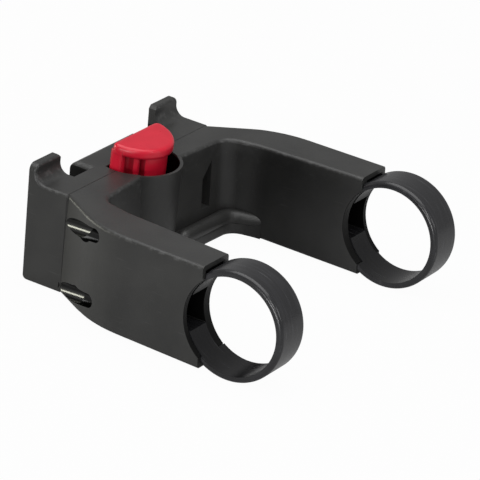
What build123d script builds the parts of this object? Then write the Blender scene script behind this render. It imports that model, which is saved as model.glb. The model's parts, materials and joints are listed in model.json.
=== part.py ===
from build123d import *
from math import cos, radians, sin, tan
import os

# Bicycle handlebar bag mount: two clamp straps on the handlebar, a forked arm bracket, and a front
# housing with two hooks, on which a bag hangs until the red button is pressed.
# Millimetres. Origin on the handlebar's axis, midway between the straps.
# +X to the rider's right, along the handlebar. +Y forward, to the bag. +Z up.

os.makedirs("parts", exist_ok=True)

# Handlebar and clamp straps
bar_diameter = 31.8
strap_spacing = 94.4
strap_width = 13.4
strap_wall = 2.1
strap_edge = 1.3
strap_gap = 0.4
tongue_reach = 21.0
tongue_margin = 4.6
tongue_clearance = 0.3

# Arm bracket, in plan and in side view
top_z = 15.9
bottom_z = -16.9
seam_y = 69.6
face_lean = 2.6
arm_proud = 0.6
arm_splay = 0.7
arm_rise = 0.5
foot_rise = 0.9
waist_y = 55.0
arm_wall = 1.3
arm_roof = 1.7
arm_hollow_width = 9.6
arm_hollow_end = 38.0
mouth_top_y = 11.4
mouth_bottom_y = 9.0
saddle_clearance = 0.2
flare_y = 50.0
flare_radius = 34.0
top_edge = 1.2
foot_edge = 1.0

# Gap between the arms: back wall and inner walls, at the top and at the bottom
gap_middle_top_y = 63.4
gap_middle_bottom_y = 59.6
gap_corner_x = 35.2
gap_corner_top_y = 60.2
gap_corner_bottom_y = 58.2
gap_bend_x = 37.8
gap_bend_y = 49.0
gap_mouth_x = 40.8
gap_draft = 1.6
gap_corner_radius = 6.0
gap_bend_radius = 22.0

# Rounded lip along the foot of the back wall
lip_depth = 3.8
lip_height = 7.6
lip_round = 3.4
lip_bevel = 1.0
lip_steps = 5
lip_root = 1.5
lip_start_x = 9.0
lip_end_y = 45.0

# Hollow behind the back wall, and the slots that open into it
back_wall = 2.4
bay_inner_x = 16.6
bay_outer_x = 31.2
bay_margin = 2.2
slot_inner_x = 24.2
slot_outer_x = 28.7
slot_bottom_z = -5.7
slot_shoulder_z = 4.8
slot_top_z = 10.2

# Button well, shared by the bracket's boss and the housing
well_radius = 13.5
well_forward = 1.4
well_flat = 3.8
well_wall = 1.0
well_floor_z = -11.0
post_radius = 2.6
post_top_z = 0.0

# Front housing
housing_half = 40.8
housing_depth = 14.7
hook_inner_x = 27.3
hook_top_z = 21.9
hook_thickness = 2.4
hook_scoop = 3.6
hook_outer_round = 2.3
hook_bevel = 1.0
pocket_inner_x = 17.6
pocket_setback = 7.4
pocket_depth = 9.0
rim_round = 1.0
chin_round = 1.5
block_round = 2.4
seam_relief = 0.4
housing_bay = 4.8
window_half = 6.0
window_bottom_z = -4.0
window_top_z = 9.8

# Release button
button_radius = 13.0
button_gap = 1.3
button_top_z = 24.5
button_tilt = 6.0
button_cap = 3.0
button_edge = 1.2
button_corner = 2.0
button_wall = 4.1
button_side = 0.4
stem_radius = 11.5
stem_half = 9.2
slit_inner_x = 6.5
slit_outer_x = 8.0
stem_bottom_z = 5.4
stem_top_z = 22.4
nose_reach = 8.8
nose_clearance = 0.3
post_clearance = 0.4
post_socket = 4.0

# Button spring, seated on the well's floor around the post
spring_back = 7.3
spring_radius = 4.0
spring_wire = 1.0
spring_turns = 5
seat_clearance = 0.05

# Clamp bolts in the arms, and the nuts that the straps hold
bolt_mid_z = -0.85
bolt_rise = 10.65
bolt_diameter = 3.0
bolt_end = 0.6
bolt_seat_y = 46.0
bolt_head_diameter = 4.6
bolt_head_length = 4.0
bolt_key = 2.0
bolt_key_depth = 1.8
bolt_clearance = 0.3
scoop_x = 47.4
scoop_upper_z = 9.95
scoop_lower_z = -12.1
scoop_radius = 2.6
scoop_slope = 0.40
scoop_rise = 0.24
scoop_reach = 9.5
scoop_length = 24.0
nut_flats = 5.5
nut_thickness = 2.4
nut_setback = 5.7
nut_thread_clearance = 0.08
nut_clearance = 0.1

# Screws that hold the housing on the bracket
screw_inset = 6.2
screw_upper_z = 8.0
screw_lower_z = -10.4
screw_diameter = 3.0
screw_clearance = 0.05
screw_length = 18.0
screw_head_diameter = 6.0
screw_head_height = 2.2
screw_sink = 2.6
screw_key = 2.0
screw_key_depth = 1.2

# Values that follow from the sizes above
bar_radius = bar_diameter / 2
strap_radius = bar_radius + strap_wall
strap_x = strap_spacing / 2
arm_outer_x = strap_x + strap_width / 2 + arm_proud
arm_hollow_half = arm_hollow_width / 2
bolt_x = arm_outer_x - arm_wall - arm_hollow_half
nut_y = tongue_reach - nut_setback
bolt_tip_y = nut_y - bolt_end
face_y = seam_y + housing_depth
well_y = seam_y + well_forward
well_front_y = well_y + well_flat
button_back_y = well_front_y - button_gap
spring_y = button_back_y - spring_back
pocket_back_y = seam_y + pocket_setback
housing_bay_y = seam_y + housing_bay
screw_x = housing_half - screw_inset
height = top_z - bottom_z
lean = tan(radians(face_lean))
flare_slope = (arm_outer_x - housing_half) / (seam_y - flare_y)
mouth_slope = (mouth_top_y - mouth_bottom_y) / height
button_slope = tan(radians(button_tilt))
bolt_levels = {"upper": bolt_mid_z + bolt_rise, "lower": bolt_mid_z - bolt_rise}
screw_levels = {"upper": screw_upper_z, "lower": screw_lower_z}
sides = {"left": -1, "right": 1}
span = 4 * arm_outer_x
over = 5.0


def seam_at(z):
    return seam_y + lean * z


def face_at(z):
    return face_y + lean * z


def mouth_at(z):
    return mouth_bottom_y + mouth_slope * (z - bottom_z)


def across_x(x):
    """Plane that faces along X at the given x, with Y to its right and Z up."""
    return Plane(origin=(x, 0, 0), x_dir=(0, 1, 0), z_dir=(1, 0, 0))


def behind(x, y, z):
    """Plane at a point that faces the rider, for what lies along a bolt or a screw."""
    return Plane(origin=(x, y, z), x_dir=(1, 0, 0), z_dir=(0, -1, 0))


def draw_gap(middle_y, corner_y, draft=0.0, inset=0.0):
    """Draw the gap between the arms on the present sketch, from the back wall to beyond the mouth."""
    half = [
        (gap_corner_x + draft, corner_y - inset),
        (gap_bend_x + draft, gap_bend_y - inset),
        (gap_mouth_x, mouth_bottom_y - over),
    ]
    Polygon((0, middle_y - inset), *half, *[(-x, y) for x, y in reversed(half)], align=None)
    for (x, y), radius in zip(half, (gap_corner_radius, gap_bend_radius)):
        fillet(vertices().filter_by(lambda v: abs(abs(v.X) - x) + abs(v.Y - y) < seat_clearance), radius)


def draw_foot(inset):
    """Draw the gap's outline at the foot of the back wall, drawn in towards the rider by the inset."""
    draw_gap(gap_middle_bottom_y, gap_corner_bottom_y, gap_draft, inset)


def keep_behind(y):
    """Remove what lies forward of y from the present sketch."""
    with Locations((0, y)):
        Rectangle(span, span, align=(Align.CENTER, Align.MIN), mode=Mode.SUBTRACT)


# Tool for the gap between the arms: its back wall comes towards the rider at the bottom
with BuildPart() as hand_gap:
    with BuildSketch(Plane.XY.offset(bottom_z)):
        draw_foot(0)
    with BuildSketch(Plane.XY.offset(top_z + arm_rise)):
        draw_gap(gap_middle_top_y, gap_corner_top_y)
    loft(ruled=True)

# Tools for the lip: a band along the foot of the back wall, and what its rounded edge leaves clear
with BuildPart() as lip_space:
    with BuildSketch(Plane.XY.offset(bottom_z)):
        draw_foot(lip_depth - lip_bevel)
    with BuildSketch(Plane.XY.offset(bottom_z + lip_bevel + foot_rise)):
        draw_foot(lip_depth)
    for step in range(lip_steps + 1):
        turn = radians(90 * step / lip_steps)
        with BuildSketch(Plane.XY.offset(bottom_z + lip_height - lip_round * (1 - sin(turn)))):
            draw_foot(lip_depth - lip_round * (1 - cos(turn)))
    loft(ruled=True)

with BuildPart() as lip:
    with BuildSketch(Plane.XY.offset(bottom_z)):
        draw_foot(-lip_root)
        Rectangle(2 * lip_start_x, span, mode=Mode.SUBTRACT)
        with Locations((0, lip_end_y)):
            Rectangle(span, span, align=(Align.CENTER, Align.MAX), mode=Mode.SUBTRACT)
    extrude(amount=lip_height)
    add(lip_space.part, mode=Mode.SUBTRACT)

# Tool for the button well
with BuildPart() as well:
    with BuildSketch(Plane.XY.offset(well_floor_z)):
        with Locations((0, well_y)):
            Circle(well_radius)
        keep_behind(well_front_y)
    extrude(amount=top_z + over - well_floor_z)

# Arm bracket: one moulding, hollow at the arm ends and behind the back wall
with BuildPart() as arm_bracket:
    with BuildSketch(Plane.XY.offset(bottom_z)):
        with BuildLine():
            half = [
                (housing_half - flare_slope * over, seam_y + over),
                (arm_outer_x, flare_y),
                (arm_outer_x + arm_splay, mouth_bottom_y - over),
            ]
            Polyline(*half, *[(-x, y) for x, y in reversed(half)], close=True)
        make_face()
        fillet(vertices().filter_by(lambda v: abs(v.Y - flare_y) < seat_clearance), flare_radius)
    extrude(amount=height + over)
    with BuildSketch(Plane.YZ):
        with BuildLine():
            Polyline(
                (mouth_bottom_y, bottom_z),
                (mouth_top_y, top_z + arm_rise),
                (waist_y, top_z + arm_rise),
                (seam_at(top_z), top_z),
                (seam_at(bottom_z), bottom_z),
                (waist_y, bottom_z + foot_rise),
                close=True,
            )
        make_face()
    extrude(amount=span, both=True, mode=Mode.INTERSECT)
    add(hand_gap.part, mode=Mode.SUBTRACT)
    for way, radius in ((1, top_edge), (-1, foot_edge)):
        rims = faces().filter_by(lambda f: way * f.normal_at().Z > 0.9).edges()
        rims = rims.filter_by(lambda e: mouth_top_y + 1 < e.center().Y < seam_at(bottom_z) - 1)
        fillet(rims.filter_by(lambda e: abs(e.center().Y - waist_y) > 0.1), radius)
    add(lip.part)
    # Boss that bulges from the back wall round the button well, with the spring's post inside
    with BuildSketch(Plane.XY.offset(bottom_z)):
        with Locations((0, well_y)):
            Circle(well_radius + well_wall)
        keep_behind(seam_at(bottom_z))
    extrude(amount=height)
    # Lip and boss end where the underside rises
    with BuildSketch(Plane.YZ):
        Polygon(
            (mouth_bottom_y, bottom_z),
            (waist_y, bottom_z + foot_rise),
            (seam_at(bottom_z), bottom_z),
            align=None,
        )
    extrude(amount=span, both=True, mode=Mode.SUBTRACT)
    add(well.part, mode=Mode.SUBTRACT)
    with BuildSketch(Plane.XY.offset(well_floor_z)):
        with Locations((0, spring_y)):
            Circle(post_radius)
    extrude(amount=post_top_z - well_floor_z)
    for sign in sides.values():
        # Hollow behind the back wall, open to the housing
        with BuildSketch(across_x(sign * bay_inner_x)):
            with BuildLine():
                Polyline(
                    (gap_middle_bottom_y + back_wall, bottom_z + bay_margin),
                    (gap_middle_top_y + back_wall, top_z - bay_margin),
                    (seam_y + over, top_z - bay_margin),
                    (seam_y + over, bottom_z + bay_margin),
                    close=True,
                )
            make_face()
        extrude(amount=sign * (bay_outer_x - bay_inner_x), mode=Mode.SUBTRACT)
        # Slot with a pointed top through the back wall
        with BuildSketch(Plane.XZ.offset(-seam_y)):
            with BuildLine():
                Polyline(
                    (sign * slot_inner_x, slot_bottom_z),
                    (sign * slot_outer_x, slot_bottom_z),
                    (sign * slot_outer_x, slot_top_z),
                    (sign * slot_inner_x, slot_shoulder_z),
                    close=True,
                )
            make_face()
        extrude(amount=seam_y - gap_bend_y, mode=Mode.SUBTRACT)
        # Hollow arm end
        with BuildSketch(Plane.XZ.offset(-arm_hollow_end)):
            with Locations((sign * bolt_x, (top_z + bottom_z) / 2)):
                Rectangle(2 * arm_hollow_half, height - 2 * arm_roof)
        extrude(amount=arm_hollow_end, mode=Mode.SUBTRACT)
        # Bolt holes, and the wider channels for their heads
        for level in bolt_levels.values():
            with BuildSketch(behind(sign * bolt_x, seam_y + over, level)):
                Circle(bolt_head_diameter / 2 + bolt_clearance)
            extrude(amount=seam_y + over - bolt_seat_y, mode=Mode.SUBTRACT)
            with BuildSketch(behind(sign * bolt_x, bolt_seat_y, level)):
                Circle(bolt_diameter / 2 + bolt_clearance)
            extrude(amount=bolt_seat_y - arm_hollow_end, mode=Mode.SUBTRACT)
        # Slanting scoops with round ends, where the channels leave the flare
        for level in (scoop_upper_z, scoop_lower_z):
            aim = Vector(sign * scoop_slope, -1, scoop_rise).normalized()
            middle = Vector(sign * scoop_x, flare_y + (arm_outer_x - scoop_x) / flare_slope, level)
            end = middle + aim * scoop_reach
            with BuildSketch(Plane(origin=end, z_dir=-aim)):
                Circle(scoop_radius)
            extrude(amount=scoop_length, mode=Mode.SUBTRACT)
            with Locations(end):
                Sphere(scoop_radius, mode=Mode.SUBTRACT)
        # Pilot holes for the housing's screws
        for level in screw_levels.values():
            with BuildSketch(behind(sign * screw_x, seam_y + over, level)):
                Circle(screw_diameter / 2 + screw_clearance)
            reach = face_at(level) - screw_sink - screw_length - 1
            extrude(amount=seam_y + over - reach, mode=Mode.SUBTRACT)
    # Saddle for the handlebar in both arm ends
    with BuildSketch(Plane.YZ):
        Circle(bar_radius + saddle_clearance)
    extrude(amount=span, both=True, mode=Mode.SUBTRACT)

# Front housing: a block with two hooks, a pocket beside each hook and the front of the button well
with BuildPart() as front_housing:
    with BuildSketch(Plane.YZ):
        with BuildLine():
            Polyline(
                (seam_at(bottom_z), bottom_z),
                (seam_at(top_z), top_z),
                (face_at(top_z), top_z),
                (face_at(bottom_z), bottom_z),
                close=True,
            )
        make_face()
    extrude(amount=housing_half, both=True)
    fillet(edges().filter_by(Axis.X).group_by(Axis.Z)[0].sort_by(Axis.Y)[-1], chin_round)
    hook_y = face_at(top_z) - hook_thickness
    for sign in sides.values():
        with BuildSketch(across_x(sign * hook_inner_x)):
            with BuildLine():
                Polyline(
                    (hook_y - hook_scoop, top_z),
                    (hook_y - hook_scoop, top_z - over),
                    (face_at(top_z - over), top_z - over),
                    (face_at(hook_top_z), hook_top_z),
                    (hook_y, hook_top_z),
                    (hook_y, top_z + hook_scoop),
                )
                RadiusArc((hook_y, top_z + hook_scoop), (hook_y - hook_scoop, top_z), hook_scoop)
            make_face()
        extrude(amount=sign * (housing_half - hook_inner_x))
        # Pocket beside the hook
        pocket_middle = sign * (hook_inner_x + pocket_inner_x) / 2
        with BuildSketch(Plane.XZ.offset(-pocket_back_y)):
            with Locations((pocket_middle, top_z - pocket_depth)):
                Rectangle(hook_inner_x - pocket_inner_x, span, align=(Align.CENTER, Align.MIN))
        extrude(amount=-(face_y + over - pocket_back_y), mode=Mode.SUBTRACT)
    # Centre block between the pockets, rounded at the front and beside them
    block = edges().filter_by(lambda e: abs(e.center().Z - top_z) < 0.1 and e.center().Y > pocket_back_y + 1)
    fillet(block.filter_by(lambda e: abs(e.center().X) < pocket_inner_x + 0.1), block_round)
    # Rounded hook tips, a rim from the seam up each hook, bevelled inner corners and the seam's relief
    tips = edges().filter_by(lambda e: e.center().Z > hook_top_z - 0.1 and abs(e.tangent_at(0.5).Y) > 0.9)
    fillet(tips.filter_by(lambda e: abs(e.center().X) > housing_half - 1), hook_outer_round)
    rims = edges().filter_by(Axis.Y).filter_by(lambda e: abs(e.center().Z - top_z) < 0.1)
    fillet(rims.filter_by(lambda e: abs(e.center().X) > housing_half - 1), rim_round)
    for sign in sides.values():
        with BuildSketch(Plane.XZ.offset(-pocket_back_y)):
            with Locations((sign * hook_inner_x, hook_top_z)):
                Rectangle(hook_bevel * 2**0.5, hook_bevel * 2**0.5, rotation=45)
        extrude(amount=-(face_y + over - pocket_back_y), mode=Mode.SUBTRACT)
    chamfer(faces().sort_by(Axis.Y)[0].edges(), seam_relief)
    add(well.part, mode=Mode.SUBTRACT)
    # Window through which the button's nose meets the bag's catch
    with BuildSketch(Plane.XZ.offset(-well_y)):
        with Locations((0, (window_top_z + window_bottom_z) / 2)):
            Rectangle(2 * window_half, window_top_z - window_bottom_z)
    extrude(amount=-(face_y + over - well_y), mode=Mode.SUBTRACT)
    for sign in sides.values():
        with BuildSketch(Plane.XZ.offset(-housing_bay_y)):
            with Locations((sign * (bay_inner_x + bay_outer_x) / 2, (top_z + bottom_z) / 2)):
                Rectangle(bay_outer_x - bay_inner_x, height - 2 * bay_margin)
        extrude(amount=over + housing_bay_y - seam_y, mode=Mode.SUBTRACT)
        for level in screw_levels.values():
            with BuildSketch(behind(sign * screw_x, face_y + over, level)):
                Circle(screw_head_diameter / 2 + screw_clearance)
            extrude(amount=face_y + over - face_at(level) + screw_sink, mode=Mode.SUBTRACT)
            with BuildSketch(behind(sign * screw_x, face_at(level) - screw_sink, level)):
                Circle(screw_diameter / 2 + screw_clearance)
            extrude(amount=over + face_y - seam_y, mode=Mode.SUBTRACT)

# Release button: a D-shaped cap that slopes to the rider, on a stem with a nose towards the bag
with BuildPart() as release_button:
    with BuildSketch(Plane.XY):
        with Locations((0, button_back_y)):
            Circle(button_radius)
        keep_behind(button_back_y)
    extrude(amount=button_top_z)
    with BuildSketch(Plane.YZ):
        with BuildLine():
            front_y = button_back_y + over
            rear_y = button_back_y - button_radius - over
            front_z = button_top_z + button_slope * over
            rear_z = button_top_z - button_slope * (button_radius + over)
            Polyline(
                (front_y, front_z),
                (rear_y, rear_z),
                (rear_y, rear_z - button_cap),
                (front_y, front_z - button_cap),
                close=True,
            )
        make_face()
    extrude(amount=span, both=True, mode=Mode.INTERSECT)
    fillet(edges().filter_by(Axis.Z), button_corner)
    fillet(faces().sort_by(Axis.Z)[-1].edges(), button_edge)
    with BuildSketch(Plane.XY.offset(stem_bottom_z)):
        with Locations((0, button_back_y)):
            Circle(stem_radius)
        keep_behind(button_back_y)
        Rectangle(2 * stem_half, span, mode=Mode.INTERSECT)
        for sign in sides.values():
            with Locations((sign * (slit_inner_x + slit_outer_x) / 2, button_back_y - button_wall)):
                Rectangle(
                    slit_outer_x - slit_inner_x, span, align=(Align.CENTER, Align.MAX), mode=Mode.SUBTRACT
                )
        with Locations((0, button_back_y)):
            Rectangle(2 * (button_radius - button_side), button_wall, align=(Align.CENTER, Align.MAX))
    extrude(amount=stem_top_z - stem_bottom_z)
    # Nose under the window's upper edge, which keeps the button in its well
    with BuildSketch(behind(0, button_back_y + nose_reach, 0)):
        with Locations((0, (window_top_z - nose_clearance + stem_bottom_z) / 2)):
            Rectangle(2 * (window_half - nose_clearance), window_top_z - nose_clearance - stem_bottom_z)
    extrude(amount=nose_reach + button_wall / 2)
    with BuildSketch(Plane.XY.offset(stem_bottom_z)):
        with Locations((0, spring_y)):
            Circle(post_radius + post_clearance)
    extrude(amount=post_socket, mode=Mode.SUBTRACT)

# Button spring: an open coil between the well's floor and the stem
with BuildPart() as button_spring:
    coil_bottom = well_floor_z + spring_wire / 2 + seat_clearance
    coil_height = stem_bottom_z - spring_wire / 2 - seat_clearance - coil_bottom
    with BuildLine() as coil:
        Helix(coil_height / spring_turns, coil_height, spring_radius, center=(0, spring_y, coil_bottom))
    with BuildSketch(Plane(origin=coil.line @ 0, z_dir=coil.line % 0)):
        Circle(spring_wire / 2)
    sweep(is_frenet=True)

for part, name in (
    (arm_bracket, "arm_bracket"),
    (front_housing, "front_housing"),
    (release_button, "release_button"),
    (button_spring, "button_spring"),
):
    part.part.label = name
    export_step(part.part, f"parts/{name}.step")

for side, sign in sides.items():
    centre_x = sign * strap_x
    # Clamp strap: an open ring with a tongue at each end that goes into the hollow arm
    with BuildPart() as clamp_strap:
        with BuildSketch(across_x(centre_x - strap_width / 2)):
            Circle(strap_radius)
            Circle(bar_radius, mode=Mode.SUBTRACT)
            with BuildLine():
                Polyline(
                    (mouth_at(-span) - strap_gap, -span),
                    (mouth_at(span) - strap_gap, span),
                    (span, span),
                    (span, -span),
                    close=True,
                )
            make_face(mode=Mode.SUBTRACT)
        extrude(amount=strap_width)
        rims = edges().filter_by(GeomType.CIRCLE).filter_by(lambda e: abs(e.radius - strap_radius) < 0.01)
        fillet(rims, strap_edge)
        tongue_width = 2 * (arm_hollow_half - tongue_clearance)
        for name, level in bolt_levels.items():
            if name == "upper":
                low = level - tongue_margin
                high = top_z - arm_roof - tongue_clearance
            else:
                low = bottom_z + arm_roof + tongue_clearance
                high = level + tongue_margin
            with BuildSketch(behind(sign * bolt_x, tongue_reach, 0)):
                with Locations((0, low)):
                    Rectangle(tongue_width, high - low, align=(Align.CENTER, Align.MIN))
            extrude(amount=tongue_reach - mouth_bottom_y + 1)
        with BuildSketch(across_x(centre_x - strap_width)):
            Circle(bar_radius)
        extrude(amount=2 * strap_width, mode=Mode.SUBTRACT)
        for name, level in bolt_levels.items():
            outward = 1 if name == "upper" else -1
            with BuildSketch(behind(sign * bolt_x, nut_y + nut_thickness + nut_clearance, level)):
                with Locations((0, -outward * (nut_flats / 3**0.5 + nut_clearance))):
                    Rectangle(
                        nut_flats + 2 * nut_clearance,
                        span,
                        align=(Align.CENTER, Align.MIN if outward > 0 else Align.MAX),
                    )
            extrude(amount=nut_thickness + 2 * nut_clearance, mode=Mode.SUBTRACT)
            with BuildSketch(behind(sign * bolt_x, tongue_reach + over, level)):
                Circle(bolt_diameter / 2 + bolt_clearance)
            extrude(amount=tongue_reach + over - bolt_tip_y + bolt_clearance, mode=Mode.SUBTRACT)
    clamp_strap.part.label = f"clamp_strap_{side}"
    export_step(clamp_strap.part, f"parts/clamp_strap_{side}.step")

    for name, level in bolt_levels.items():
        # Clamp bolt with a key socket in its head
        with BuildPart() as clamp_bolt:
            with BuildSketch(behind(sign * bolt_x, bolt_seat_y + bolt_head_length, level)):
                Circle(bolt_head_diameter / 2)
            extrude(amount=bolt_head_length)
            with BuildSketch(behind(sign * bolt_x, bolt_seat_y, level)):
                Circle(bolt_diameter / 2)
            extrude(amount=bolt_seat_y - bolt_tip_y)
            with BuildSketch(behind(sign * bolt_x, bolt_seat_y + bolt_head_length, level)):
                RegularPolygon(bolt_key / 2, 6, major_radius=False)
            extrude(amount=bolt_key_depth, mode=Mode.SUBTRACT)
        clamp_bolt.part.label = f"clamp_bolt_{side}_{name}"
        export_step(clamp_bolt.part, f"parts/clamp_bolt_{side}_{name}.step")

        # Nut in the strap's tongue
        with BuildPart() as clamp_nut:
            with BuildSketch(behind(sign * bolt_x, nut_y + nut_thickness, level)):
                RegularPolygon(nut_flats / 2, 6, major_radius=False, rotation=30)
                Circle(bolt_diameter / 2 + nut_thread_clearance, mode=Mode.SUBTRACT)
            extrude(amount=nut_thickness)
        clamp_nut.part.label = f"clamp_nut_{side}_{name}"
        export_step(clamp_nut.part, f"parts/clamp_nut_{side}_{name}.step")

    for name, level in screw_levels.items():
        # Self-tapping screw, sunk in the bag face
        seat_y = face_at(level) - screw_sink
        with BuildPart() as housing_screw:
            with BuildSketch(behind(sign * screw_x, seat_y + screw_head_height, level)):
                Circle(screw_head_diameter / 2)
            extrude(amount=screw_head_height)
            with BuildSketch(behind(sign * screw_x, seat_y, level)):
                Circle(screw_diameter / 2)
            extrude(amount=screw_length)
            with BuildSketch(behind(sign * screw_x, seat_y + screw_head_height, level)):
                RegularPolygon(screw_key / 2, 6, major_radius=False)
            extrude(amount=screw_key_depth, mode=Mode.SUBTRACT)
        housing_screw.part.label = f"housing_screw_{side}_{name}"
        export_step(housing_screw.part, f"parts/housing_screw_{side}_{name}.step")
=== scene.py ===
import json
from functools import reduce
from math import cos, radians, sin

import bpy
from mathutils import Matrix, Vector


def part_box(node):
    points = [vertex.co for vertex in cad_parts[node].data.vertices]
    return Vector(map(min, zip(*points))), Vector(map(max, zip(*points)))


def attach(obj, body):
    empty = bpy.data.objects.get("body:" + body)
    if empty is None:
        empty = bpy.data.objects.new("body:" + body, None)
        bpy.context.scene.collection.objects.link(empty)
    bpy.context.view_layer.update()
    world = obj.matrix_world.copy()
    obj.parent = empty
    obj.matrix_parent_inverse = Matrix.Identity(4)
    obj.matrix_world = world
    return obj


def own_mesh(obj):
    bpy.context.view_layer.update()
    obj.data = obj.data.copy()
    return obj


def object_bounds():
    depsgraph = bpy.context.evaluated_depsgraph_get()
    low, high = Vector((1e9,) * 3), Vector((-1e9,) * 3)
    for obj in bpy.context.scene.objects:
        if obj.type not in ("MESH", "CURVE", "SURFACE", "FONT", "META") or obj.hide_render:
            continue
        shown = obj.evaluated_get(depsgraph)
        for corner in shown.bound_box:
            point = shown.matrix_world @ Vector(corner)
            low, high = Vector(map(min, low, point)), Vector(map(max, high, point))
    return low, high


# Bicycle handlebar bag mount: moulded black bracket and housing, satin straps, red release button.
# Metres, in the CAD frame: +X along the handlebar, +Y forward to the bag, +Z up.

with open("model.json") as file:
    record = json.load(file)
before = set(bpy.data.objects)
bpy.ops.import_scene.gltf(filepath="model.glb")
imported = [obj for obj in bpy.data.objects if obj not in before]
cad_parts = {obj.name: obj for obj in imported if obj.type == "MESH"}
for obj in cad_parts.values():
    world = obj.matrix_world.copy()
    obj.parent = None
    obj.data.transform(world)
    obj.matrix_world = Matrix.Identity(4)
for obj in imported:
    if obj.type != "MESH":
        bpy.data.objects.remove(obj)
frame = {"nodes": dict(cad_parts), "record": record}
cad_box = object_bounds()
nodes = frame["nodes"]
record = frame["record"]

# Camera: direction of view in degrees, and the point it looks at
view_azimuth = 61.11
view_elevation = 24.08
view_roll = 7.45
view_distance = 1.25
view_target = Vector((0.0004, 0.0307, 0.00097))
lens_mm = 298.3
sensor_mm = 36.0
view_reach = 20.0

# Stage: a floor at the part's lowest point, and a world that is white to the camera. The shares say how
# much more of that white each kind of ray gets.
floor_size = 6.0
floor_z = cad_box[0][2]
floor_grey = 0.45
floor_shares = {"Is Camera Ray": 0.97, "Is Glossy Ray": 0.10, "Is Transmission Ray": 0.10}
world_light = 0.12
world_shares = {"Is Camera Ray": 0.88, "Is Glossy Ray": 0.25, "Is Transmission Ray": 0.25}
object_middle = (0.0, 0.04, 0.0)
near_flare = (-0.047, 0.06, 0.0)
white = (1.0, 1.0, 1.0)
warm_white = (1.0, 1.0, 0.85)

# Smooth bolt channels in the arms, and the scoops in which they leave the flares, on the +X side. Their
# walls get painted shade in their colour, and their roofs painted shade in their gloss
bolts = [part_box("clamp_bolt_right_" + level) for level in ("upper", "lower")]
bolt_x = (bolts[0][0][0] + bolts[0][1][0]) / 2
bolt_end_y = bolts[0][1][1]
seam_setback = 0.0001
seam_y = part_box("arm_bracket")[1][1] - seam_setback
bore_radius = 0.00263
channel_way = Vector((0.0, -1.0, 0.0))
channel_overrun = 0.001
channel_reach = seam_y - bolt_end_y + channel_overrun
scoop_x = 0.0474
scoop_y = 0.06016
scoop_levels = (0.00995, -0.0121)
scoop_way = Vector((0.40, -1.0, 0.24)).normalized()
scoop_reach = 0.0095
bore_polish = 0.25
bore_shade = 0.85
roof_from_slope = 0.2333
roof_full_slope = -0.1
roof_shade = 0.85

# Places in shade, and their shares of full shade where these are below 1: hollow arm ends, faces round the
# handlebar, the button's well, the bay behind the housing, the hooks' pockets and the gap's side walls
hollow_middle = Vector((bolt_x, 0.0220, 0.0040))
hollow_reach = Vector((0.0050, 0.0165, 0.0108))
saddle_radius = 0.01625
saddle_shade = 0.9
strap_bore_radius = 0.01595
strap_bore_shade = 0.55
well_y = 0.0710
well_radius = 0.01353
well_front_y = 0.0749
well_rim_z = 0.0154
bay_low = Vector((-0.034, 0.0640, -0.0135))
bay_high = Vector((0.034, 0.0765, 0.0135))
openings = {opening["name"]: opening["box_m"] for opening in record["physics"]["openings"]}
pocket_margin = 0.0006
pocket_low = Vector(openings["hook_pocket_right"][0]) - Vector((1, 1, 1)) * pocket_margin
pocket_high = Vector(openings["hook_pocket_right"][1]) + Vector((1, 1, 0)) * pocket_margin
pocket_shade = 0.85
gap_wall_x = 0.0413
gap_mouth_y = 0.002
gap_deep_y = 0.036
gap_fade_start_y = 0.045
gap_fade_end_y = 0.055
gap_wall_power = 4.0
gap_shade = 0.58
full_shade = 0.9

# Recesses in the button's stem, behind its front wall and under its cap, where painted shade darkens the
# red
stem_y = 0.0735
recess_radius = 0.0113
recess_x = 0.0064
recess_y = 0.06945
recess_z = 0.0205
recess_shade = 0.55

# Gloss and wear
plain_gloss = 0.5
button_gloss = 0.45
scuff_pitch = 0.0016
edge_wear = 0.035
scratch_wear = 0.012
worn_above_z = 0.010
cap_rounding = 0.0016

# Bead on the lip: its route on the +X side, as X, Y and share of the full thickness
bead_radius = 0.0025
bead_z = -0.0103
bead_route = [
    (0.0084, 0.0575, 0.2),
    (0.0090, 0.0573, 0.9),
    (0.0150, 0.0569, 1.0),
    (0.0280, 0.0566, 1.0),
    (0.0340, 0.0566, 1.0),
    (0.0372, 0.0546, 1.0),
    (0.0388, 0.0500, 0.9),
    (0.0418, 0.0440, 0.6),
]


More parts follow.
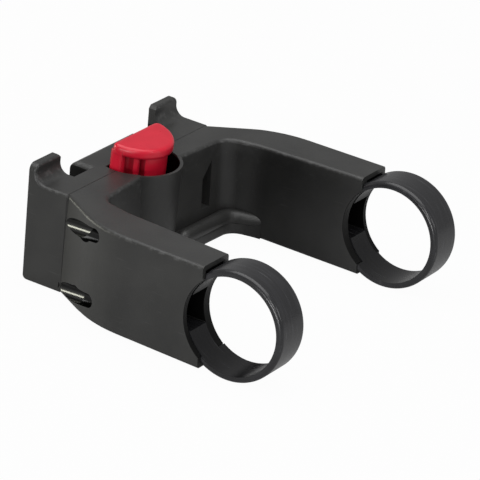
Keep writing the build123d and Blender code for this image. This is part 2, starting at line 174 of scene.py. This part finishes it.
class Shader:
    """A material's node tree, with short calls that add nodes and link them."""

    def __init__(self, name):
        self.material = bpy.data.materials.new(name)
        self.material.use_nodes = True
        self.nodes = self.material.node_tree.nodes
        self.principled = self.nodes["Principled BSDF"]
        self.place = self.add("ShaderNodeTexCoord").outputs["Object"]
        self.x, self.y, self.z = self.split(self.place)
        self.aside = self.math("ABSOLUTE", self.x)

    def add(self, kind, **settings):
        node = self.nodes.new(kind)
        for key, value in settings.items():
            setattr(node, key, value)
        return node

    def feed(self, socket, value):
        """Give a socket a plain value, or link another node's output to it."""
        if isinstance(value, bpy.types.NodeSocket):
            self.material.node_tree.links.new(value, socket)
        else:
            socket.default_value = value

    def surface(self, name, value):
        """Feed an input of the Principled shader."""
        self.feed(self.principled.inputs[name], value)

    def split(self, vector):
        node = self.add("ShaderNodeSeparateXYZ")
        self.feed(node.inputs["Vector"], vector)
        return tuple(node.outputs[axis] for axis in "XYZ")

    def combine(self, x, y, z):
        node = self.add("ShaderNodeCombineXYZ")
        for axis, value in zip("XYZ", (x, y, z)):
            self.feed(node.inputs[axis], value)
        return node.outputs["Vector"]

    def normal(self):
        """X, Y and Z of the surface's direction, before any bump."""
        return self.split(self.add("ShaderNodeNewGeometry").outputs["Normal"])

    def math(self, operation, *values, clamp=False):
        node = self.add("ShaderNodeMath", operation=operation, use_clamp=clamp)
        for socket, value in zip(node.inputs, values):
            self.feed(socket, value)
        return node.outputs["Value"]

    def vector(self, operation, *values):
        node = self.add("ShaderNodeVectorMath", operation=operation)
        for socket, value in zip(node.inputs, values):
            self.feed(socket, value)
        gives_number = operation in ("LENGTH", "DISTANCE", "DOT_PRODUCT")
        return node.outputs["Value" if gives_number else "Vector"]

    def scaled(self, colour, factor):
        node = self.add("ShaderNodeVectorMath", operation="SCALE")
        self.feed(node.inputs["Vector"], colour)
        self.feed(node.inputs["Scale"], factor)
        return node.outputs["Vector"]

    def every(self, *masks):
        """Product of the masks."""
        return reduce(lambda a, b: self.math("MULTIPLY", a, b), masks)

    def either(self, *masks):
        """Largest of the masks."""
        return reduce(lambda a, b: self.math("MAXIMUM", a, b), masks)

    def less(self, mask, share):
        """1 where the mask is 0, falling to 1 - share where it is 1."""
        return self.math("MULTIPLY_ADD", mask, -share, 1.0)

    def blend(self, mask, start, end):
        """start where the mask is 0, end where it is 1."""
        return self.math("MULTIPLY_ADD", mask, end - start, start)

    def below(self, value, limit):
        return self.math("LESS_THAN", value, limit)

    def above(self, value, limit):
        return self.math("GREATER_THAN", value, limit)

    def rise(self, value, start, end):
        """0 at start and 1 at end, along a straight line."""
        return self.math("MULTIPLY_ADD", value, 1 / (end - start), -start / (end - start), clamp=True)

    def in_box(self, low, high):
        """1 inside a box and inside its mirror image on the other side, 0 elsewhere."""
        sides = zip((self.aside, self.y, self.z), low, high)
        return self.every(*(self.every(self.above(v, a), self.below(v, b)) for v, a, b in sides))

    def noise(self, scale, detail=2.0, place=None):
        node = self.add("ShaderNodeTexNoise")
        self.feed(node.inputs["Scale"], scale)
        self.feed(node.inputs["Detail"], detail)
        self.feed(node.inputs["Vector"], place or self.place)
        return node.outputs["Fac"]

    def stretched(self, factors):
        """The place, with each axis multiplied by its own factor."""
        return self.vector("MULTIPLY", self.place, factors)

    def ramp(self, source, stops):
        """Colour ramp: stops are (position, grey or colour)."""
        node = self.add("ShaderNodeValToRGB")
        elements = node.color_ramp.elements
        while len(elements) < len(stops):
            elements.new(0.5)
        for element, (position, colour) in zip(elements, stops):
            element.position = position
            rgb = (colour,) * 3 if isinstance(colour, (int, float)) else colour
            element.color = (*rgb, 1.0)
        self.feed(node.inputs["Fac"], source)
        return node.outputs["Color"]

    def bump(self, height, distance, strength, normal=None):
        node = self.add("ShaderNodeBump")
        self.feed(node.inputs["Height"], height)
        self.feed(node.inputs["Distance"], distance)
        self.feed(node.inputs["Strength"], strength)
        if normal:
            self.feed(node.inputs["Normal"], normal)
        return node.outputs["Normal"]


def bore_lines():
    """Start, way in and reach of each bore on the +X side."""
    for (low, high), scoop_z in zip(bolts, scoop_levels):
        yield Vector((bolt_x, seam_y, (low[2] + high[2]) / 2)), channel_way, channel_reach
        yield Vector((scoop_x, scoop_y, scoop_z)), scoop_way, scoop_reach


def in_bores(s):
    """1 on the walls of the bolt channels and of their scoops, 0 elsewhere."""
    point = s.combine(s.aside, s.y, s.z)
    walls = []
    for start, way, reach in bore_lines():
        offset = s.vector("SUBTRACT", point, start)
        from_line = s.vector("LENGTH", s.vector("CROSS_PRODUCT", offset, way))
        along = s.vector("DOT_PRODUCT", offset, way)
        from_end = s.vector("DISTANCE", point, start + way * reach)
        tube = s.every(s.below(from_line, bore_radius), s.below(along, reach))
        walls.append(s.either(tube, s.below(from_end, bore_radius)))
    return s.every(s.either(*walls), s.below(s.y, seam_y))


def in_hollow(s, bar_radius, bar_share):
    """1 inside the hollow arm ends, bar_share on the faces round the handlebar, 0 elsewhere."""
    from_bar = s.vector("LENGTH", s.combine(0.0, s.y, s.z))
    round_bar = s.every(s.below(from_bar, bar_radius), bar_share)
    return s.either(round_bar, s.in_box(hollow_middle - hollow_reach, hollow_middle + hollow_reach))


def in_well(s):
    """1 in the button's well, below its rim and behind its front, 0 elsewhere."""
    from_axis = s.vector("DISTANCE", s.combine(s.x, s.y, 0.0), (0.0, well_y, 0.0))
    return s.every(s.below(from_axis, well_radius), s.below(s.z, well_rim_z), s.below(s.y, well_front_y))


def on_gap_walls(s):
    """Rises to 1 deep in the gap, on the side walls, and fades out towards the mouth and the back wall."""
    upright = s.math("POWER", s.math("ABSOLUTE", s.normal()[0]), gap_wall_power)
    from_mouth = s.rise(s.y, gap_mouth_y, gap_deep_y)
    from_back = s.rise(s.y, gap_fade_end_y, gap_fade_start_y)
    return s.every(s.below(s.aside, gap_wall_x), upright, from_mouth, from_back)


def in_shade(s):
    """Share of full shade on the bracket and the housing."""
    return s.either(
        in_hollow(s, saddle_radius, saddle_shade),
        in_well(s),
        s.in_box(bay_low, bay_high),
        s.every(s.in_box(pocket_low, pocket_high), pocket_shade),
        s.every(on_gap_walls(s), gap_shade),
    )


def in_recesses(s):
    """1 in the recesses of the button's stem, 0 elsewhere."""
    from_axis = s.vector("DISTANCE", s.combine(s.x, s.y, 0.0), (0.0, stem_y, 0.0))
    level = s.every(s.below(s.y, recess_y), s.below(s.z, recess_z))
    return s.every(level, s.below(from_axis, recess_radius), s.above(s.aside, recess_x))


def worn(s, normal_z):
    """Grey that scuffs add along the upper edges, and fine scratches add all over."""
    # Leaning faces, up there mostly rounded edges: 0 where level or upright, and 1 halfway between
    slope = s.math("ABSOLUTE", normal_z)
    edges = s.every(slope, s.less(slope, 1.0), 4.0, s.above(s.z, worn_above_z))
    scuffs = s.ramp(s.noise(scale=650.0, detail=4.0), [(0.50, 0.0), (0.68, 1.0)])
    lines_along_y = s.stretched((1.0, 0.06, 1.0))
    scratches = s.ramp(s.noise(scale=1500.0, place=lines_along_y), [(0.68, 0.0), (0.74, 1.0)])
    return s.math("ADD", s.every(edges, scuffs, edge_wear), s.every(scratches, scratch_wear))


def moulded_black():
    """Black moulded nylon: a fine spark-eroded texture, smooth bores, and worn upper edges, with painted
    shade in its colour and gloss in the hollows, the well, the bay, the pockets, on the gap's side walls
    and in the bores.
    """
    s = Shader("moulded_black")
    # Painted shade: colour and gloss are dimmed where in_shade places shade
    lit = s.less(in_shade(s), full_shade)
    bore_walls = in_bores(s)
    normal_z = s.normal()[2]
    # Painted shade on the gloss of the bores' roofs, where their walls face down
    roof = s.every(bore_walls, s.rise(normal_z, roof_from_slope, roof_full_slope))
    s.surface("Specular IOR Level", s.every(lit, plain_gloss, s.less(roof, roof_shade)))

    black, soft_black = (0.016, 0.016, 0.0155), (0.026, 0.026, 0.025)
    mottle = s.ramp(s.noise(scale=70.0, detail=3.0), [(0.3, black), (0.7, soft_black)])
    colour = s.vector("ADD", mottle, worn(s, normal_z))
    # Painted shade darkens the colour in the shaded places and on the bores' walls
    s.surface("Base Color", s.scaled(colour, s.every(lit, s.less(bore_walls, bore_shade))))

    grain = s.noise(scale=2600.0, detail=3.0)
    rough = s.blend(grain, start=0.34, end=0.52)
    s.surface("Roughness", s.math("MULTIPLY_ADD", bore_walls, -bore_polish, rough))
    s.surface("Normal", s.bump(grain, distance=0.00006, strength=s.blend(bore_walls, start=0.5, end=0.0)))
    return s.material


def strap_black():
    """Satin black nylon of the straps, with fine scuffs round the ring, and painted shade in its colour and
    gloss inside the arm ends and on its faces round the handlebar.
    """
    s = Shader("strap_black")
    # Painted shade: colour and gloss dim inside the arm ends and on the faces round the handlebar
    lit = s.less(in_hollow(s, strap_bore_radius, strap_bore_shade), full_shade)
    s.surface("Specular IOR Level", s.every(lit, plain_gloss))

    round_ring = s.every(s.math("ARCTAN2", s.z, s.y), scuff_pitch)
    scuffs = s.noise(scale=1100.0, detail=4.0, place=s.combine(s.x, round_ring, 0.0))
    black, soft_black, scuffed = (0.014, 0.014, 0.0155), (0.022, 0.022, 0.0245), (0.06, 0.06, 0.062)
    colour = s.ramp(scuffs, [(0.45, black), (0.66, soft_black), (0.74, scuffed)])
    s.surface("Base Color", s.scaled(colour, lit))

    s.surface("Roughness", s.blend(scuffs, start=0.18, end=0.32))
    s.surface("Normal", s.bump(s.noise(scale=300.0), distance=0.00003, strength=0.1))
    return s.material


def button_red():
    """Red moulded button: satin gloss, a slight flow in the colour, soft edges and painted shade in the
    recesses.
    """
    s = Shader("button_red")
    s.surface("Specular IOR Level", button_gloss)
    deep_red, bright_red = (0.55, 0.007, 0.026), (0.61, 0.010, 0.032)
    flow = s.ramp(s.noise(scale=160.0), [(0.3, deep_red), (0.7, bright_red)])
    # Painted shade darkens the red in the stem's recesses
    s.surface("Base Color", s.scaled(flow, s.less(in_recesses(s), recess_shade)))

    grain = s.noise(scale=2200.0)
    s.surface("Roughness", s.blend(grain, start=0.24, end=0.36))
    rounded = s.add("ShaderNodeBevel", samples=8)
    s.feed(rounded.inputs["Radius"], cap_rounding)
    s.surface("Normal", s.bump(grain, distance=0.00003, strength=0.25, normal=rounded.outputs["Normal"]))
    return s.material


def steel(name, grey, roughness, scale):
    """Plated or drawn steel with a fine brushed grain."""
    s = Shader(name)
    s.surface("Metallic", 1.0)
    grain = s.noise(scale, detail=3.0, place=s.stretched((1.0, 0.15, 1.0)))
    dull_grey = grey * 0.9
    s.surface("Base Color", s.ramp(grain, [(0.3, dull_grey), (0.7, grey)]))
    s.surface("Roughness", s.blend(grain, start=roughness, end=roughness + 0.15))
    return s.material


finishes = {
    "moulded_black": moulded_black(),
    "strap_black": strap_black(),
    "button_red": button_red(),
    "zinc_steel": steel("zinc_steel", grey=0.72, roughness=0.2, scale=3000.0),
    "spring_steel": steel("spring_steel", grey=0.55, roughness=0.25, scale=4000.0),
}
for part in record["subparts"]:
    mesh = nodes[part["node"]].data
    mesh.materials.clear()
    mesh.materials.append(finishes[part["material_slot"]])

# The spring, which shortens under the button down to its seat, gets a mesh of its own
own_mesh(nodes["button_spring"])


def lip_bead(name, side):
    """Rounded bead on the lip at the foot of the back wall, from beside the boss round the gap's corner."""
    curve = bpy.data.curves.new(name, "CURVE")
    curve.dimensions = "3D"
    curve.bevel_depth = bead_radius
    curve.bevel_resolution = 8
    curve.resolution_u = 16
    curve.use_fill_caps = True
    spline = curve.splines.new("NURBS")
    spline.points.add(len(bead_route) - 1)
    for point, (x, y, thickness) in zip(spline.points, bead_route):
        point.co = (side * x, y, bead_z, 1.0)
        point.radius = thickness
    spline.use_endpoint_u = True
    spline.order_u = 3
    curve.materials.append(finishes["moulded_black"])
    bead = bpy.data.objects.new(name, curve)
    bpy.context.scene.collection.objects.link(bead)
    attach(bead, "frame")


lip_bead("lip_bead_left", -1)
lip_bead("lip_bead_right", 1)


def ray_sum(tree, base, shares):
    """A base value, and for each kind of ray its share on top."""
    path = tree.nodes.new("ShaderNodeLightPath")
    total = None
    for ray, share in shares.items():
        node = tree.nodes.new("ShaderNodeMath")
        node.operation = "MULTIPLY_ADD"
        tree.links.new(path.outputs[ray], node.inputs[0])
        node.inputs[1].default_value = share
        node.inputs[2].default_value = base
        if total:
            tree.links.new(total, node.inputs[2])
        total = node.outputs["Value"]
    return total


def floor_white():
    """Floor that is white to the camera, pale in mirror and glass rays, and plain grey for the rest."""
    material = bpy.data.materials.new("floor_white")
    material.use_nodes = True
    tree = material.node_tree
    tree.nodes.clear()
    output = tree.nodes.new("ShaderNodeOutputMaterial")
    diffuse = tree.nodes.new("ShaderNodeBsdfDiffuse")
    diffuse.inputs["Color"].default_value = (floor_grey, floor_grey, floor_grey, 1.0)
    glow = tree.nodes.new("ShaderNodeEmission")
    mix = tree.nodes.new("ShaderNodeMixShader")
    tree.links.new(ray_sum(tree, 0.0, floor_shares), mix.inputs["Fac"])
    tree.links.new(diffuse.outputs["BSDF"], mix.inputs[1])
    tree.links.new(glow.outputs["Emission"], mix.inputs[2])
    tree.links.new(mix.outputs["Shader"], output.inputs["Surface"])
    return material


def softbox(name, place, size, watts, target=object_middle, colour=white):
    """Area light, turned to its target."""
    light = bpy.data.lights.new(name, "AREA")
    light.color = colour
    light.shape = "RECTANGLE"
    light.size, light.size_y = size
    light.energy = watts
    lamp = bpy.data.objects.new(name, light)
    bpy.context.scene.collection.objects.link(lamp)
    lamp.location = place
    lamp.rotation_euler = (Vector(target) - Vector(place)).to_track_quat("-Z", "Y").to_euler()


bpy.ops.mesh.primitive_plane_add(size=floor_size, location=(0, 0, floor_z))
floor = bpy.context.object
floor.name = "floor"
floor.data.materials.append(floor_white())

world = bpy.data.worlds.new("studio")
bpy.context.scene.world = world
world.use_nodes = True
background = world.node_tree.nodes["Background"]
background.inputs["Color"].default_value = (*white, 1.0)
world_strength = ray_sum(world.node_tree, world_light, world_shares)
world.node_tree.links.new(world_strength, background.inputs["Strength"])

softbox("key_above", place=(-0.1, 0.05, 0.9), size=(1.2, 1.2), watts=11.0)
softbox("fill_left", place=(-0.92, -0.2, 0.03), size=(0.6, 0.08), watts=3.0)
softbox("fill_camera", place=(-0.75, -0.62, 0.55), size=(0.2, 0.2), watts=1.8)
softbox("fill_back", place=(0.15, -0.9, 0.42), size=(0.4, 0.3), watts=1.2)
strip_place = (-0.30, 1.05, 0.07)
softbox("strip_front", strip_place, size=(0.5, 0.16), watts=3.2, target=near_flare, colour=warm_white)


def add_camera():
    """Camera at the photograph's angle, turned by its roll about the line of view."""
    azimuth = radians(view_azimuth)
    elevation = radians(view_elevation)
    roll = radians(view_roll)
    forward = Vector((sin(azimuth) * cos(elevation), cos(azimuth) * cos(elevation), -sin(elevation)))
    level_right = forward.cross(Vector((0, 0, 1))).normalized()
    level_up = level_right.cross(forward)
    right = level_right * cos(roll) + level_up * sin(roll)
    up = level_up * cos(roll) - level_right * sin(roll)
    turn = Matrix((right, up, -forward)).transposed().to_4x4()

    lens = bpy.data.cameras.new("camera")
    lens.lens = lens_mm
    lens.sensor_width = sensor_mm
    lens.clip_end = view_reach
    camera = bpy.data.objects.new("camera", lens)
    camera.matrix_world = Matrix.Translation(view_target - forward * view_distance) @ turn
    bpy.context.scene.collection.objects.link(camera)
    return camera


bpy.context.scene.camera = add_camera()
bpy.context.scene.view_settings.view_transform = "Standard"
